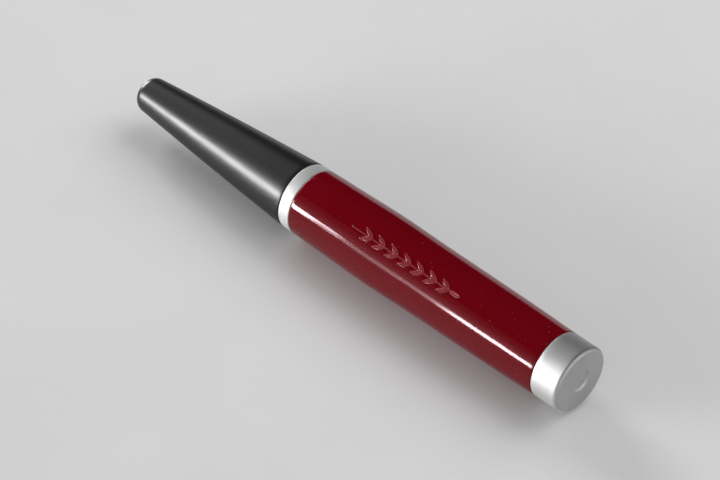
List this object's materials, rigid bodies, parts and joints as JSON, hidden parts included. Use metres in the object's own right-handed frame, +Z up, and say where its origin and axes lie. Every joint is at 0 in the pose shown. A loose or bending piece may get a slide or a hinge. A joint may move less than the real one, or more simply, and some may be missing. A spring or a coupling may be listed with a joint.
{
  "type": "cake tester",
  "caption": "Hand cake tester: thin steel probe on a barrel handle with metal collar and end cap, under a tapered pull-off cover.",
  "frame": {"origin": "on the resting surface, below the middle of the tool's length and on its axis seen from above", "axes": "+X along the tool's axis from the cover's tip to the end cap, +Z up; the raised motif faces up and to -Y"},
  "size_m": [0.1952, 0.025, 0.025],
  "materials": {
    "cover_black": "satin moulded",
    "liner_natural": "smooth natural",
    "seal_rubber": "matt",
    "nose_grey": "fine moulded",
    "probe_steel": "fine drawn",
    "fastener_steel": "zinc plated",
    "collar_satin": "satin brushed",
    "handle_red": "high gloss",
    "core_grey": "moulded",
    "cap_satin": "satin pressed"
  },
  "bodies": {
    "handle": {"handle_shell": "handle_red", "handle_core": "core_grey", "collar_ring": "collar_satin", "front_gasket": "seal_rubber", "nose_piece": "nose_grey", "grip_ring": "seal_rubber", "probe_ferrule": "fastener_steel", "probe": "probe_steel", "probe_pin": "fastener_steel", "rear_gasket": "seal_rubber", "end_plug": "nose_grey", "screw_washer": "fastener_steel", "plug_screw": "fastener_steel", "cap_clip": "fastener_steel", "end_cap": "cap_satin"},
    "cover": {"cover_shell": "cover_black", "cover_liner": "liner_natural"}
  },
  "joints": [
    {"name": "cover_slide", "type": "slide", "parent": "handle", "child": "cover", "axis": [-1, 0, 0], "range_m": [0, 0.08]}
  ]
}
